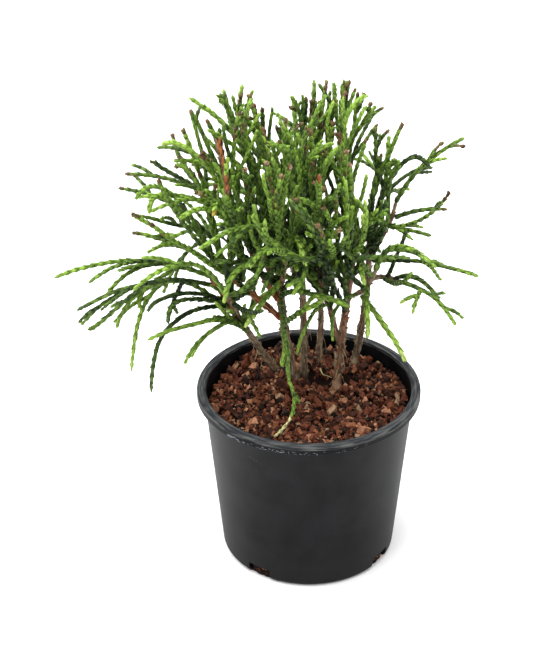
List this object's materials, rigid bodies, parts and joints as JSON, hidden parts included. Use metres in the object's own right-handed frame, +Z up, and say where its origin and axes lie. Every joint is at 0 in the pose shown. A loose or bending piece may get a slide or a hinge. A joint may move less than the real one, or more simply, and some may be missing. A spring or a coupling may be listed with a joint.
{
  "type": "potted whipcord conifer",
  "caption": "Young conifer with long arching cord-like shoots on slender stems, growing in a round black nursery pot filled with bark mulch.",
  "frame": {"origin": "centre of the pot's flat underside", "axes": "+Z up, +X to the right and +Y to the back as the plant is seen in the picture"},
  "size_m": [0.2601, 0.2136, 0.3002],
  "materials": {
    "black_plastic": "matt black moulded plastic with a soft sheen and pale scuffs on the rim",
    "bark_mulch": "loose red-brown bark chips over a dark mix",
    "bark": "fibrous grey-brown bark, redder higher up, with dry scale remnants",
    "scale_leaves": "cords of pressed scale leaves, deep green with lime and brown tips"
  },
  "bodies": {
    "root": {"pot": "black_plastic", "potting_mix": "bark_mulch", "stem_main": "bark", "stem_left": "bark", "stem_grey": "bark", "stem_thin": "bark", "stem_forked": "bark", "stem_right": "bark", "bough_left_side": "bark", "bough_left_up": "bark", "bough_left_front": "bark", "bough_main_front": "bark", "bough_main_back": "bark", "bough_grey_back": "bark", "bough_thin_back": "bark", "bough_fork_inner": "bark", "bough_fork_front": "bark", "bough_right_low": "bark", "bough_right_mid": "bark", "bough_right_back": "bark", "foliage_left_long": "scale_leaves", "foliage_left_low": "scale_leaves", "foliage_left_arch": "scale_leaves", "foliage_left_hang": "scale_leaves", "foliage_left_foot": "scale_leaves", "foliage_side_mid": "scale_leaves", "foliage_side_high": "scale_leaves", "foliage_side_crown": "scale_leaves", "foliage_front_left": "scale_leaves", "foliage_front_left_high": "scale_leaves", "foliage_orange": "scale_leaves", "foliage_tall_arch": "scale_leaves", "foliage_up_left": "scale_leaves", "foliage_back_left_high": "scale_leaves", "foliage_back_left": "scale_leaves", "foliage_crown_main": "scale_leaves", "foliage_crown_front": "scale_leaves", "foliage_hanging": "scale_leaves", "foliage_front_main": "scale_leaves", "foliage_front_low": "scale_leaves", "foliage_crown_grey": "scale_leaves", "foliage_back_grey": "scale_leaves", "foliage_back_grey_low": "scale_leaves", "foliage_crown_thin": "scale_leaves", "foliage_back_thin": "scale_leaves", "foliage_back_thin_high": "scale_leaves", "foliage_crown_fork": "scale_leaves", "foliage_front_fork": "scale_leaves", "foliage_inner_front": "scale_leaves", "foliage_inner_low": "scale_leaves", "foliage_fork_right": "scale_leaves", "foliage_fork_right_low": "scale_leaves", "foliage_crown_right": "scale_leaves", "foliage_crown_right_back": "scale_leaves", "foliage_right_high": "scale_leaves", "foliage_right_back_high": "scale_leaves", "foliage_right_low": "scale_leaves", "foliage_right_inner": "scale_leaves", "foliage_right_back": "scale_leaves", "foliage_right_back_low": "scale_leaves"}
  },
  "joints": []
}
